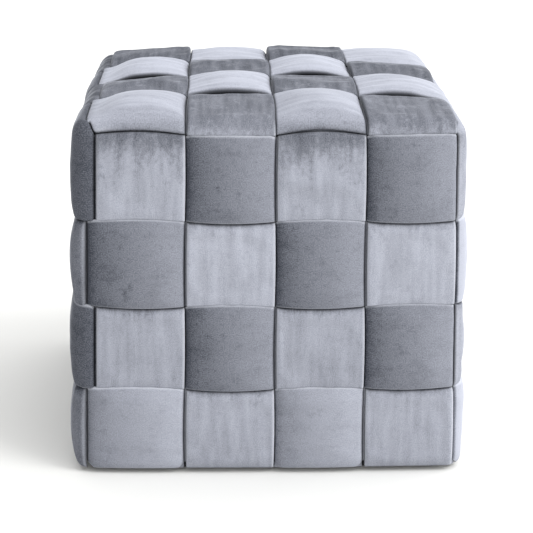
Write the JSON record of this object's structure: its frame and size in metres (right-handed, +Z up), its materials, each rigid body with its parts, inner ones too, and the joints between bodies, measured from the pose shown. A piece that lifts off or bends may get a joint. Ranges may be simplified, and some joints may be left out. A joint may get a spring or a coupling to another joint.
{
  "type": "woven velvet cube pouf stool",
  "caption": "Cube pouf for sitting or resting feet: padded velvet bands woven over and under each other around a filled cube, with a flat underside panel.",
  "frame": {"origin": "on the floor, under the middle of the pouf", "axes": "+Z up; +Y from the front, the side that the picture shows, towards the back; +X to the right seen from the front"},
  "size_m": [0.4344, 0.4345, 0.3982],
  "materials": {
    "ring_velvet": "matt velvet with a sheen at grazing angles, blue grey, seen against its nap",
    "strap_velvet": "matt velvet with a sheen at grazing angles, blue grey, seen along its nap",
    "body_velvet": "the same velvet in the shade between the bands",
    "base_felt": "matt black non-woven base cloth"
  },
  "bodies": {
    "root": {"seat_block": "body_velvet", "base_panel": "base_felt", "ring_1": "ring_velvet", "ring_2": "ring_velvet", "ring_3": "ring_velvet", "ring_4": "ring_velvet", "strap_front_1": "strap_velvet", "strap_front_2": "strap_velvet", "strap_front_3": "strap_velvet", "strap_front_4": "strap_velvet", "strap_side_1": "strap_velvet", "strap_side_2": "strap_velvet", "strap_side_3": "strap_velvet", "strap_side_4": "strap_velvet"}
  },
  "joints": []
}
